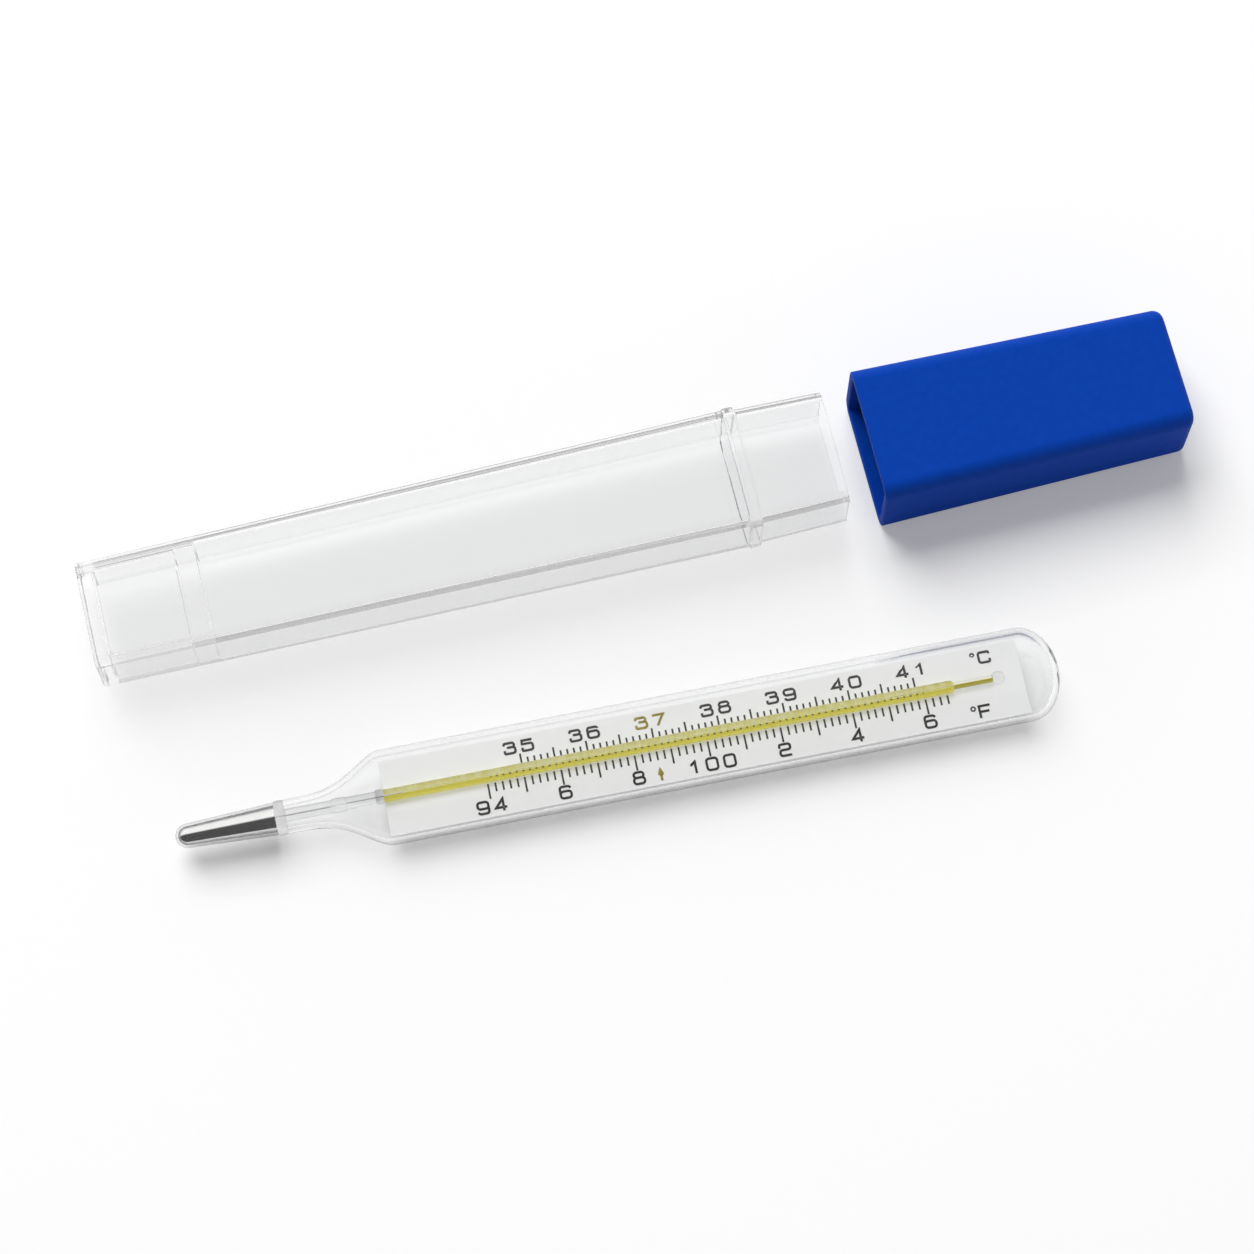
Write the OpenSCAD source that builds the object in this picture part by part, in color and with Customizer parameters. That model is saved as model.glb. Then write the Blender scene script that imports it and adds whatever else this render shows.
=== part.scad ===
// Enclosed-scale mercury thermometer with its clear carrying case and pull-off cap.
// Millimetres. The thermometer lies along +X on its flat side, bulb towards -X.
// The origin is on that resting face, under the middle of the thermometer.

/* [Glass body] */
// Length from the tip of the bulb to the domed end
thermometer_length = 125; // [112:1:140]
// Width of the flat oval glass body
body_width = 13.6; // [13:0.1:14]
// Thickness of the flat oval glass body
body_thickness = 7.8; // [7.4:0.1:8.4]
// Wall of the glass body
body_wall = 0.9; // [0.7:0.05:1]
// Outer diameter of the glass neck behind the bulb
neck_diameter = 4.8; // [4.5:0.1:5.4]
// Length over which the neck flares out to the full body
flare_length = 14.2; // [13:0.1:15]
// Length of the domed end
dome_length = 5; // [3:0.5:6.5]

/* [Bulb and seal] */
// Length of the bulb
bulb_length = 14; // [13:0.1:15]
// Diameter of the bulb at its tip
bulb_tip_diameter = 3.4; // [3:0.1:4]
// Diameter of the bulb at its neck
bulb_neck_diameter = 4.6; // [4.2:0.1:4.8]
// Wall of the bulb
bulb_wall = 0.35; // [0.2:0.05:0.5]
// Width of the melted ring that joins bulb and body
seal_width = 1.4; // [1:0.1:2]
// How far the melted ring stands proud of the neck
seal_bulge = 0.15; // [0.05:0.05:0.3]

/* [Stem and capillary] */
// Bore that the mercury runs in
bore_diameter = 0.36; // [0.3:0.02:0.5]
// Radial clearance of the mercury in its bore
bore_clearance = 0.03; // [0.02:0.01:0.05]
// Outer diameter of the clear inner stem
stem_diameter = 1.7; // [1.5:0.1:2]
// Distance from the bulb's tip to the middle of the constriction
pinch_start = 22.9; // [20:0.1:24]
// Half the length of the constriction
pinch_reach = 1.1; // [0.8:0.1:1.4]
// Diameter that the bore narrows to at the constriction
pinch_diameter = 0.16; // [0.1:0.02:0.24]
// How far the stem swells at the constriction
pinch_swell = 0.15; // [0.05:0.05:0.3]
// Length of the bead between stem and capillary
bead_length = 1.1; // [0.8:0.1:1.4]
// Diameter of the bead between stem and capillary
bead_diameter = 2.1; // [1.9:0.1:2.4]
// How far the stem and the capillary lie above the middle of the body
capillary_lift = 0.6; // [0.3:0.05:0.62]
// Outer diameter of the capillary tube
capillary_diameter = 1.8; // [1.5:0.1:2]
// Length of the capillary past the last graduation
capillary_margin = 1; // [0.6:0.1:1.6]
// Diameter of the drawn-out tail
tail_diameter = 1; // [0.8:0.1:1.2]
// Length of the drawn-out tail up to the middle of its end bead
tail_length = 6.4; // [5:0.1:7]
// Diameter of the bead that closes the tail
tail_bead_diameter = 1.9; // [1.5:0.1:2.2]

/* [Scale] */
// Thickness of the milky scale plate
plate_thickness = 0.4; // [0.3:0.05:0.5]
// Clearance between the plate's long edges and the glass
plate_clearance = 0.2; // [0.15:0.05:0.4]
// Clearance where two pieces inside the glass rest on each other
contact_gap = 0.02; // [0.01:0.01:0.04]
// How far the plate starts inside the end of the flare
plate_reach = 0.4; // [0:0.1:0.6]
// How far the gold stripe reaches round the back of the capillary, in degrees
stripe_angle = 140; // [90:5:170]
// Thickness of the gold stripe
stripe_thickness = 0.05; // [0.03:0.01:0.08]
// Thickness of the printed graduations
print_thickness = 0.04; // [0.02:0.01:0.06]
// Distance from the bulb's tip to the 35 degree Celsius mark
scale_start = 48.8; // [47:0.1:50]
// Distance from the last graduation to the domed end
scale_end_gap = 16.1; // [15.8:0.1:20]
// Width of a graduation line
line_width = 0.26; // [0.15:0.01:0.3]
// Distance from the middle of the plate to the start of the graduations
line_start = 0.85; // [0.7:0.05:1]
// Length of a short Celsius line
celsius_short = 1.1; // [0.8:0.05:1.4]
// Length of a long Celsius line
celsius_long = 1.75; // [1.5:0.05:1.8]
// Length of a short Fahrenheit line
fahrenheit_short = 1.15; // [0.8:0.05:1.4]
// Length of a long Fahrenheit line
fahrenheit_long = 2.1; // [1.6:0.05:2.15]

/* [Numbers] */
// Height of the numbers
number_height = 2; // [1.6:0.1:2]
// Width of one digit
digit_width = 1.85; // [1.5:0.05:2]
// Distance from one digit to the next
digit_pitch = 2.5; // [2.3:0.1:2.8]
// Width of a digit's strokes
stroke_width = 0.34; // [0.24:0.02:0.38]
// Radius that softens the corners of a stroke
stroke_round = 0.06; // [0.02:0.01:0.08]
// Distance from the middle of the plate to the middle of the Celsius numbers
celsius_offset = 3.7; // [3.65:0.05:4.2]
// Distance from the middle of the plate to the middle of the Fahrenheit numbers
fahrenheit_offset = 4.05; // [4:0.05:4.2]
// Outer diameter of the degree sign
degree_sign_diameter = 0.8; // [0.6:0.05:0.9]
// Width of the degree sign's stroke
degree_sign_stroke = 0.2; // [0.18:0.01:0.24]
// Distance from the degree sign to the middle of its letter
degree_sign_reach = 1.6; // [1.5:0.05:1.8]
// Distance from the end of the plate to the middle of the Celsius letter
celsius_sign_gap = 4.8; // [4:0.1:7]
// Distance from the end of the plate to the middle of the Fahrenheit letter
fahrenheit_sign_gap = 6.4; // [4:0.1:7]
// Length of the pointed mark at normal body temperature
normal_mark_length = 1.8; // [1.4:0.1:2]
// Width of the pointed mark at normal body temperature
normal_mark_width = 0.85; // [0.6:0.05:0.95]

/* [Mercury column] */
// Distance from the bulb's tip to the top of the column when shaken down
column_rest = 31.9; // [31:0.1:36]
// Length of the rigid end of the column
column_head_length = 1.2; // [0.8:0.1:1.5]

/* [Case] */
// Length of the case from its closed end to its mouth
case_length = 107.5; // [104:0.5:115]
// Length of the neck that the cap slides over
case_neck_length = 12.6; // [10:0.1:14]
// Width of the neck beside the collar
case_neck_width = 17.5; // [16.8:0.1:18.4]
// Height of the neck beside the collar
case_neck_height = 10.6; // [10.4:0.1:12]
// Width of the closed end
case_end_width = 15.9; // [15:0.1:16.6]
// Height of the closed end
case_end_height = 10.6; // [10.4:0.1:11]
// Wall of the case
case_wall = 1; // [0.8:0.05:1.1]
// Thickness of the closed end
case_end_wall = 2; // [1:0.1:3]
// How far the body stands proud of the neck
case_shoulder = 0.2; // [0.1:0.05:0.3]
// Width of the collar that stops the cap
collar_width = 1.9; // [1.2:0.1:2.4]
// How far the collar stands proud of the neck on each side
collar_reach = 0.45; // [0.35:0.05:0.8]
// Radius of the collar's corners
collar_corner = 3; // [2.2:0.1:3.4]
// Radius of the case's long edges
case_corner = 1.6; // [1:0.1:2.2]
// Radius round the closed end
case_end_round = 0.5; // [0.3:0.05:0.9]
// Depth of the narrow nest for the bulb, from the closed end
nest_depth = 13.6; // [12:0.1:15]
// Length of the sloping shoulder in front of the nest
nest_slope = 3.2; // [1.5:0.1:4]
// How much thicker the wall is round the nest
nest_step = 0.6; // [0.3:0.05:0.8]
// Width of the moulding mark sunk in the closed end
gate_width = 2.6; // [1.5:0.1:3.5]
// Depth of the moulding mark
gate_depth = 0.4; // [0.2:0.05:0.8]

/* [Cap] */
// Length of the cap
cap_length = 45.5; // [42:0.5:50]
// Wall of the cap
cap_wall = 1.25; // [0.9:0.05:1.5]
// Thickness of the cap's closed end
cap_end_wall = 1.6; // [1:0.1:2.5]
// How much narrower the cap is at its closed end
cap_draft = 1.8; // [0.6:0.1:2.2]
// How much lower the cap is at its closed end
cap_height_draft = 0.6; // [0.2:0.1:1.4]
// Clearance between the cap and the neck on each side
cap_clearance = 0.1; // [0.05:0.01:0.15]
// Radius of the cap's long edges
cap_corner = 2.2; // [1.8:0.1:3]
// Radius round the cap's closed end
cap_end_round = 1.4; // [0.5:0.1:1.6]
// Gap between the case's mouth and the cap that lies beside it
cap_gap = 4.8; // [3:0.1:12]

/* [Layout] */
// Where the middle of the case's closed end lies along X
case_x = -69.3; // [-75:0.1:-60]
// Where the middle of the case's closed end lies along Y
case_y = 32; // [28:0.1:40]
// Angle between the case and the thermometer
case_turn = 2.25; // [0:0.05:4]

/* [Hidden] */
$fn = 48;

// Steps round each corner of a lofted section, and along a flare, a dome or a rounded end
corner_steps = 8;
case_corner_steps = 6;
flare_steps = 13;
dome_angles = [0, 15, 30, 43, 55, 66, 75, 82, 87];
round_angles = [0, 22.5, 45, 67.5, 90];
// Power that puts most of the flare close to the body
flare_power = 1.9;
// Steps in a soft turn of a digit, and how far from its corner it starts: as a share of the
// number's height, but no more than a share of the shorter stroke beside it
turn_steps = 4;
turn_share = 0.19;
turn_limit = 0.48;
print_fn = 12;
// Steps round the bulb's tip, the tail's bead and the column's crown
bulb_steps = 8;
bead_steps = 10;
crown_steps = 4;
// Cutters run this far past the face that they open
overrun = 1;

// Graduations: first and last value, and lines to a degree
celsius_first = 35;
celsius_last = 41;
celsius_lines = 10;
fahrenheit_first = 94;
fahrenheit_last = 106.6;
fahrenheit_lines = 5;
long_every = 5;
// Printed values; normal body temperature is printed in gold
celsius_normal = 37;
celsius_printed = [35, 36, 38, 39, 40, 41];
fahrenheit_normal = 98.6;
fahrenheit_printed = [94, 96, 98, 100, 102, 104, 106];
// These are printed in full, the others by their last digit
fahrenheit_in_full = [94, 100];
fahrenheit_zero = 32;
fahrenheit_per_celsius = 1.8;

bore_radius = bore_diameter / 2;
mercury_radius = bore_radius - bore_clearance;
seal_end = bulb_length + seal_width;
flare_end = seal_end + flare_length;
dome_start = thermometer_length - dome_length;
plate_start = flare_end - plate_reach;
bead_end = plate_start;
bead_start = bead_end - bead_length;
scale_top = thermometer_length - scale_end_gap;
degree_pitch = (scale_top - scale_start) / (celsius(fahrenheit_last) - celsius_first);
capillary_end = scale_top + capillary_margin;
tail_bead_place = capillary_end + tail_length;

// Heights below are measured from the middle of the glass body
stripe_inner_radius = capillary_diameter / 2 + contact_gap;
stripe_outer_radius = stripe_inner_radius + stripe_thickness;
plate_top = capillary_lift - stripe_outer_radius - contact_gap;
plate_bottom = plate_top - plate_thickness;
inner_radius = body_thickness / 2 - body_wall;
plate_half_width = (body_width - body_thickness) / 2
    + sqrt(pow(inner_radius, 2) - pow(plate_bottom, 2)) - plate_clearance;

cap_width = case_neck_width + 2 * (cap_clearance + cap_wall);
cap_height = case_neck_height + 2 * (cap_clearance + cap_wall);
collar_end = case_length - case_neck_length;
collar_start = collar_end - collar_width;
neck_share = case_neck_length / cap_length;
stroke_core = stroke_width - 2 * stroke_round;
soft_cut = turn_share * number_height;
nest_wall = case_wall + nest_step;
cap_place = case_length + cap_gap;
case_axis_height = cap_height / 2;

function celsius(fahrenheit) = (fahrenheit - fahrenheit_zero) / fahrenheit_per_celsius;

function celsius_place(value) = scale_start + (value - celsius_first) * degree_pitch;

// Rounded rectangle, counter-clockwise, with a given radius and number of steps at each corner
function rounded_outline(width, height, radius, steps) =
    let (r = min(radius, width / 2 - 0.01, height / 2 - 0.01))
    [for (corner = [0:3])
        let (side = (corner == 0 || corner == 3) ? 1 : -1, top = corner < 2 ? 1 : -1)
        for (i = [0:steps])
            let (angle = 90 * (corner + i / steps))
            [side * (width / 2 - r) + r * cos(angle), top * (height / 2 - r) + r * sin(angle)]];

function arc(centre, radius, from, to, steps) =
    [for (i = [0:steps])
        let (angle = from + (to - from) * i / steps)
        [centre[0] + radius * cos(angle), centre[1] + radius * sin(angle)]];

// A solid through stations along X, each one [x, width, height, corner radius]
module loft(stations, steps) {
    count = 4 * (steps + 1);
    last = len(stations) - 1;
    ring_points = [for (s = stations)
        for (p = rounded_outline(s[1], s[2], s[3], steps)) [s[0], p[0], p[1]]];
    sides = [for (i = [0:last - 1]) for (j = [0:count - 1])
        let (k = (j + 1) % count, a = i * count, b = a + count)
        each [[a + j, b + j, b + k], [a + j, b + k, a + k]]];
    start_face = [[for (j = [0:count - 1]) j]];
    end_face = [[for (j = [count - 1:-1:0]) last * count + j]];
    polyhedron(points = ring_points, faces = concat(start_face, sides, end_face));
}

// A solid turned about the X axis from points [radius, x]
module turned(points) {
    rotate([0, 90, 0]) rotate_extrude() polygon(points);
}

module at_thermometer() {
    translate([-thermometer_length / 2, 0, body_thickness / 2]) children();
}

// Where the stem, the capillary and the column lie
module at_capillary() {
    at_thermometer() translate([0, 0, capillary_lift]) children();
}

module at_case() {
    translate([case_x, case_y, case_axis_height]) rotate([0, 0, case_turn]) children();
}

function smooth(t) = t * t * (3 - 2 * t);

// Station of the glass body in the flare, t from 0 at the neck to 1 at the body
function flare_station(t, inset) =
    let (f = smooth(pow(t, flare_power)),
         width = neck_diameter + (body_width - neck_diameter) * f - 2 * inset,
         height = neck_diameter + (body_thickness - neck_diameter) * f - 2 * inset)
    [seal_end + flare_length * t, width, height, height / 2];

function dome_station(angle, inset) =
    let (width = (body_width - 2 * inset) * cos(angle),
         height = (body_thickness - 2 * inset) * cos(angle))
    [dome_start + (dome_length - inset) * sin(angle), width, height, height / 2];

function body_stations(inset) = concat(
    [for (i = [0:flare_steps]) flare_station(i / flare_steps, inset)],
    [for (angle = dome_angles) dome_station(angle, inset)]);

module glass_envelope() {
    neck_inside = flare_station(0, body_wall);
    opening = [neck_inside[0] - overrun, neck_inside[1], neck_inside[2], neck_inside[3]];
    color("lightcyan", 0.35) at_thermometer() difference() {
        loft(body_stations(0), corner_steps);
        loft(concat([opening], body_stations(body_wall)), corner_steps);
    }
}

// Ring of melted glass with a bulging rim, bored in line with the stem
module neck_seal() {
    rim = bulb_neck_diameter / 2;
    color("lightcyan", 0.5) at_thermometer() difference() {
        turned([
            [0, bulb_length],
            [rim, bulb_length],
            [rim + seal_bulge, bulb_length + seal_width / 4],
            [rim + seal_bulge, bulb_length + seal_width * 3 / 4],
            [rim, seal_end],
            [0, seal_end]]);
        translate([bulb_length - overrun, 0, capillary_lift]) rotate([0, 90, 0])
            cylinder(h = seal_width + 2 * overrun, r = bore_radius);
    }
}

// Half outline of the bulb, drawn in by inset, from its tip to its open end
function bulb_outline(inset) =
    let (tip = bulb_tip_diameter / 2)
    concat(arc([0, tip], tip - inset, -90, 0, bulb_steps),
        [[bulb_neck_diameter / 2 - inset, bulb_length]]);

module bulb_glass() {
    outer = bulb_outline(0);
    inner = bulb_outline(bulb_wall);
    color("lightcyan", 0.4) at_thermometer()
        turned(concat(outer, [for (i = [len(inner) - 1:-1:0]) inner[i]]));
}

// Mercury that fills the bulb and the bore as far as the constriction
module bulb_mercury() {
    fill = bulb_outline(bulb_wall + contact_gap);
    fill_end = bulb_length - contact_gap;
    color("silver") at_thermometer() {
        turned(concat([for (p = fill) [p[0], min(p[1], fill_end)]], [[0, fill_end]]));
        translate([fill_end - overrun, 0, capillary_lift]) rotate([0, 90, 0])
            cylinder(h = pinch_start - pinch_reach - fill_end + overrun, r = mercury_radius);
    }
}

// Clear stem with its swelling and the narrow place in its bore
module inner_stem() {
    radius = stem_diameter / 2;
    color("lightcyan", 0.5) at_capillary() turned([
        [bore_radius, seal_end],
        [radius, seal_end],
        [radius, pinch_start - pinch_reach],
        [radius + pinch_swell, pinch_start - pinch_reach / 2],
        [radius + pinch_swell, pinch_start + pinch_reach / 2],
        [radius, pinch_start + pinch_reach],
        [radius, bead_start],
        [bore_radius, bead_start],
        [bore_radius, pinch_start + pinch_reach],
        [pinch_diameter / 2, pinch_start + pinch_reach / 4],
        [pinch_diameter / 2, pinch_start - pinch_reach / 4],
        [bore_radius, pinch_start - pinch_reach]]);
}

module stem_bead() {
    edge = stem_diameter / 2;
    bulge = bead_diameter / 2;
    color("lightcyan", 0.5) at_capillary() turned([
        [bore_radius, bead_start],
        [edge, bead_start],
        [bulge, bead_start + bead_length / 4],
        [bulge, bead_end - bead_length / 4],
        [edge, bead_end],
        [bore_radius, bead_end]]);
}

module capillary_tube() {
    color("lightcyan", 0.4) at_capillary() turned([
        [bore_radius, bead_end],
        [capillary_diameter / 2, bead_end],
        [capillary_diameter / 2, capillary_end - capillary_margin / 2],
        [tail_diameter / 2, capillary_end],
        [bore_radius, capillary_end]]);
}

// Drawn tail whose bore ends in the bead
module capillary_tail() {
    bead = tail_bead_diameter / 2;
    meet = acos(tail_diameter / tail_bead_diameter);
    ball = arc([0, tail_bead_place], bead, -meet, 90, bead_steps);
    color("lightcyan", 0.5) at_capillary() turned(concat(
        [[bore_radius, capillary_end], [tail_diameter / 2, capillary_end]],
        ball,
        [[0, tail_bead_place], [bore_radius, tail_bead_place - bore_radius]]));
}

module scale_plate() {
    color("ghostwhite") at_thermometer()
        translate([plate_start, -plate_half_width, plate_bottom])
            cube([dome_start - plate_start, 2 * plate_half_width, plate_thickness]);
}

// Thin gold strip that hugs the back of the capillary
module gold_stripe() {
    start = plate_start;
    end = capillary_end - capillary_margin / 2;
    color("gold") at_capillary() rotate([0, 90, 0]) rotate([0, 0, -stripe_angle / 2])
        rotate_extrude(angle = stripe_angle) polygon([
            [stripe_inner_radius, start],
            [stripe_outer_radius, start],
            [stripe_outer_radius, end],
            [stripe_inner_radius, end]]);
}

// One graduation line across the plate, outwards from beside the capillary; side is 1 or -1
module graduation(place, line_length, side) {
    low = side > 0 ? line_start : -line_start - line_length;
    translate([place - line_width / 2, low, plate_top])
        cube([line_width, line_length, print_thickness]);
}

module celsius_graduations() {
    count = round((celsius_last - celsius_first) * celsius_lines);
    color("black") at_thermometer() for (i = [0:count])
        graduation(celsius_place(celsius_first + i / celsius_lines),
            i % long_every == 0 ? celsius_long : celsius_short, 1);
}

module fahrenheit_graduations() {
    count = round((fahrenheit_last - fahrenheit_first) * fahrenheit_lines);
    color("black") at_thermometer() for (i = [0:count])
        graduation(celsius_place(celsius(fahrenheit_first + i / fahrenheit_lines)),
            i % long_every == 0 ? fahrenheit_long : fahrenheit_short, -1);
}

function unit(v) = v / norm(v);

// Points of a soft turn from a to b round a corner
function turn(a, corner, b) =
    [for (i = [0:turn_steps])
        let (t = i / turn_steps)
        a * pow(1 - t, 2) + corner * (2 * t * (1 - t)) + b * t * t];

// A path whose corners are softened from a distance of up to cut on either side
function softened(points, cut) =
    let (last = len(points) - 1)
    [for (i = [0:last])
        let (p = points[i], before = points[max(i - 1, 0)] - p, after = points[min(i + 1, last)] - p,
             near = min(cut, turn_limit * norm(before), turn_limit * norm(after)))
        each near == 0 ? [p] : turn(p + unit(before) * near, p, p + unit(after) * near)];

// The point at a distance reach beside a path's point
function beside(points, i, reach) =
    let (last = len(points) - 1,
         before = unit(points[max(i, 1)] - points[max(i, 1) - 1]),
         after = unit(points[min(i + 1, last)] - points[min(i + 1, last) - 1]),
         along = unit(before + after))
    points[i] + [-along[1], along[0]] * reach / (along * before);

// A printed stroke along a path that is given on the unit square
module stroke(points, cut) {
    sized = [for (p = points) [
        (p[0] - 0.5) * (digit_width - stroke_width),
        (p[1] - 0.5) * (number_height - stroke_width)]];
    path = softened(sized, cut);
    last = len(path) - 1;
    polygon(concat(
        [for (i = [0:last]) beside(path, i, stroke_core / 2)],
        [for (i = [last:-1:0]) beside(path, i, -stroke_core / 2)]));
}

// A printed ring on the unit square from left to right and from low to high
module ring(left, right, low, high) {
    width = (right - left) * (digit_width - stroke_width);
    height = (high - low) * (number_height - stroke_width);
    translate([
        ((left + right) / 2 - 0.5) * (digit_width - stroke_width),
        ((low + high) / 2 - 0.5) * (number_height - stroke_width)])
        difference() {
            polygon(rounded_outline(width + stroke_core, height + stroke_core,
                soft_cut + stroke_core / 2, turn_steps));
            polygon(rounded_outline(width - stroke_core, height - stroke_core,
                soft_cut - stroke_core / 2, turn_steps));
        }
}

// The drawn cores of wide, square-shouldered digits
module digit(value) {
    if (value == 0) ring(0, 1, 0, 1);
    if (value == 1) stroke([[0.18, 0.7], [0.6, 0.98], [0.6, 0]], 0);
    if (value == 2)
        stroke([[0, 0.7], [0, 1], [1, 1], [1, 0.5], [0, 0.5], [0, 0], [1, 0]], soft_cut);
    if (value == 3) {
        stroke([[0, 0.74], [0, 1], [0.95, 1], [0.95, 0.53], [0.3, 0.53]], soft_cut);
        stroke([[0.5, 0.53], [1, 0.53], [1, 0], [0, 0], [0, 0.26]], soft_cut);
    }
    if (value == 4) stroke([[1, 0.27], [0, 0.27], [0.72, 1], [0.72, 0]], 0);
    if (value == 5) {
        stroke([[0.95, 1], [0.05, 1], [0.02, 0.55]], 0);
        stroke([[0.02, 0.6], [1, 0.6], [1, 0], [0, 0], [0, 0.26]], soft_cut);
    }
    if (value == 6) {
        ring(0, 1, 0, 0.58);
        stroke([[0.99, 0.86], [0.82, 1], [0, 1], [0, 0.29]], soft_cut);
    }
    if (value == 7) stroke([[0, 1], [1, 1], [0.35, 0]], 0);
    if (value == 8) {
        ring(0, 1, 0, 0.53);
        ring(0.05, 0.95, 0.53, 1);
    }
    if (value == 9) {
        ring(0, 1, 0.42, 1);
        stroke([[1, 0.71], [1, 0], [0.18, 0], [0.01, 0.14]], soft_cut);
    }
}

function digits(value) =
    value < 10 ? [value] : concat(digits(floor(value / 10)), [value % 10]);

// Lays a print on the plate, centred at a place along the scale; its cores grow to full strokes
module printed(place, offset) {
    at_thermometer() translate([place, offset, plate_top]) linear_extrude(print_thickness)
        offset(r = stroke_round, $fn = print_fn) children();
}

module number(value, place, offset) {
    shown = digits(value);
    printed(place, offset) for (i = [0:len(shown) - 1])
        translate([(i - (len(shown) - 1) / 2) * digit_pitch, 0]) digit(shown[i]);
}

module celsius_numbers() {
    color("black") for (value = celsius_printed)
        number(value, celsius_place(value), celsius_offset);
}

module fahrenheit_numbers() {
    color("black") for (value = fahrenheit_printed)
        number(len(search(value, fahrenheit_in_full)) > 0 ? value : value % 10,
            celsius_place(celsius(value)), -fahrenheit_offset);
}

// The gold number at normal body temperature
module normal_number() {
    color("goldenrod") number(celsius_normal, celsius_place(celsius_normal), celsius_offset);
}

// Slim pointed mark under the line of normal body temperature
module normal_mark() {
    half = normal_mark_width / 2 - stroke_round;
    tail = stroke_core / 2;
    color("goldenrod") printed(celsius_place(celsius(fahrenheit_normal)), -fahrenheit_offset)
        polygon([
            [0, normal_mark_length / 2],
            [half, 0],
            [tail, -normal_mark_length / 6],
            [tail, -normal_mark_length / 2],
            [-tail, -normal_mark_length / 2],
            [-tail, -normal_mark_length / 6],
            [-half, 0]]);
}

module degree_sign() {
    ring_diameter = degree_sign_diameter - degree_sign_stroke;
    core = degree_sign_stroke - 2 * stroke_round;
    translate([-degree_sign_reach, (number_height - degree_sign_diameter) / 2]) difference() {
        circle(d = ring_diameter + core);
        circle(d = ring_diameter - core);
    }
}

// The Celsius sign above the capillary and the Fahrenheit sign below it
module unit_signs() {
    color("black") {
        printed(dome_start - celsius_sign_gap, celsius_offset) {
            degree_sign();
            stroke([[1, 0.74], [1, 1], [0, 1], [0, 0], [1, 0], [1, 0.26]], soft_cut);
        }
        printed(dome_start - fahrenheit_sign_gap, -fahrenheit_offset) {
            degree_sign();
            stroke([[0, 0], [0, 1], [1, 1]], 0);
            stroke([[0, 0.5], [0.85, 0.5]], 0);
        }
    }
}

// Mercury between the constriction and the moving end; it stretches as the column rises
module mercury_thread() {
    start = pinch_start + pinch_reach;
    color("dimgray") at_capillary() translate([start, 0, 0]) rotate([0, 90, 0])
        cylinder(h = column_rest - column_head_length - start, r = mercury_radius);
}

// Moving end of the column with its rounded top
module mercury_head() {
    start = column_rest - column_head_length;
    crown = column_rest - mercury_radius;
    color("dimgray") at_capillary()
        turned(concat([[0, start], [mercury_radius, start]],
            arc([0, crown], mercury_radius, 0, 90, crown_steps)));
}

function shrunk(station, x, inset) =
    [x, station[1] - 2 * inset, station[2] - 2 * inset, max(station[3] - inset, 0.3)];

// Outside of the case's body at a distance from the closed end
function case_station(x) =
    let (t = x / collar_start,
         width = case_end_width + (case_neck_width + 2 * case_shoulder - case_end_width) * t,
         height = case_end_height + (case_neck_height + 2 * case_shoulder - case_end_height) * t)
    [x, width, height, case_corner];

function neck_station(x) =
    let (share = neck_share * (x - collar_end) / case_neck_length)
    [x, case_neck_width - cap_draft * share, case_neck_height - cap_height_draft * share,
        case_corner];

// Clear case: tapered body, collar, neck, and a cavity that narrows to a nest for the bulb
module case_tube() {
    nest_end = nest_depth + nest_slope;
    bottom = case_station(0);
    body = concat(
        [for (a = round_angles)
            shrunk(case_station(0), case_end_round * (1 - cos(a)), case_end_round * (1 - sin(a)))],
        [case_station(collar_end)]);
    across = case_neck_width + 2 * collar_reach;
    collar_round = collar_width / 4;
    collar = [
        [collar_start, across - 2 * collar_round, cap_height - 2 * collar_round, collar_corner],
        [collar_start + collar_round, across, cap_height, collar_corner],
        [collar_end - collar_round, across, cap_height, collar_corner],
        [collar_end, across - 2 * collar_round, cap_height - 2 * collar_round, collar_corner]];
    neck = [neck_station(collar_start), neck_station(case_length)];
    cavity = [
        shrunk(bottom, case_end_wall, nest_wall + case_end_round),
        shrunk(bottom, case_end_wall + case_end_round, nest_wall),
        shrunk(case_station(nest_depth), nest_depth, nest_wall),
        shrunk(case_station(nest_end), nest_end, case_wall),
        shrunk(neck_station(collar_end), collar_end, case_wall),
        shrunk(neck_station(collar_end), case_length + overrun, case_wall)];
    color("azure", 0.35) at_case() difference() {
        union() {
            loft(body, case_corner_steps);
            loft(collar, case_corner_steps);
            loft(neck, case_corner_steps);
        }
        loft(cavity, case_corner_steps);
        translate([-overrun, -gate_width / 2, -gate_width / 3])
            cube([gate_depth + overrun, gate_width, gate_width * 2 / 3]);
    }
}

// Outside of the cap at a distance from its mouth
function cap_station(x) =
    [x, cap_width - cap_draft * x / cap_length, cap_height - cap_height_draft * x / cap_length,
        cap_corner];

module cap_shell() {
    outside = concat(
        [cap_station(0)],
        [for (i = [len(round_angles) - 1:-1:0])
            let (a = round_angles[i], x = cap_length - cap_end_round * (1 - cos(a)))
            shrunk(cap_station(x), x, cap_end_round * (1 - sin(a)))]);
    floor_place = cap_length - cap_end_wall;
    inside = [
        shrunk(cap_station(-overrun), -overrun, cap_wall),
        shrunk(cap_station(floor_place - case_end_round), floor_place - case_end_round, cap_wall),
        shrunk(cap_station(floor_place), floor_place, cap_wall + case_end_round)];
    color("royalblue") at_case() translate([cap_place, 0, 0]) difference() {
        loft(outside, case_corner_steps);
        loft(inside, case_corner_steps);
    }
}

glass_envelope();
neck_seal();
bulb_glass();
bulb_mercury();
inner_stem();
stem_bead();
capillary_tube();
capillary_tail();
scale_plate();
gold_stripe();
celsius_graduations();
fahrenheit_graduations();
celsius_numbers();
fahrenheit_numbers();
normal_number();
normal_mark();
unit_signs();
mercury_thread();
mercury_head();
case_tube();
cap_shell();
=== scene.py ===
"""Enclosed-scale mercury thermometer, its clear case and its blue cap, on a pale table."""

import math

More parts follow.
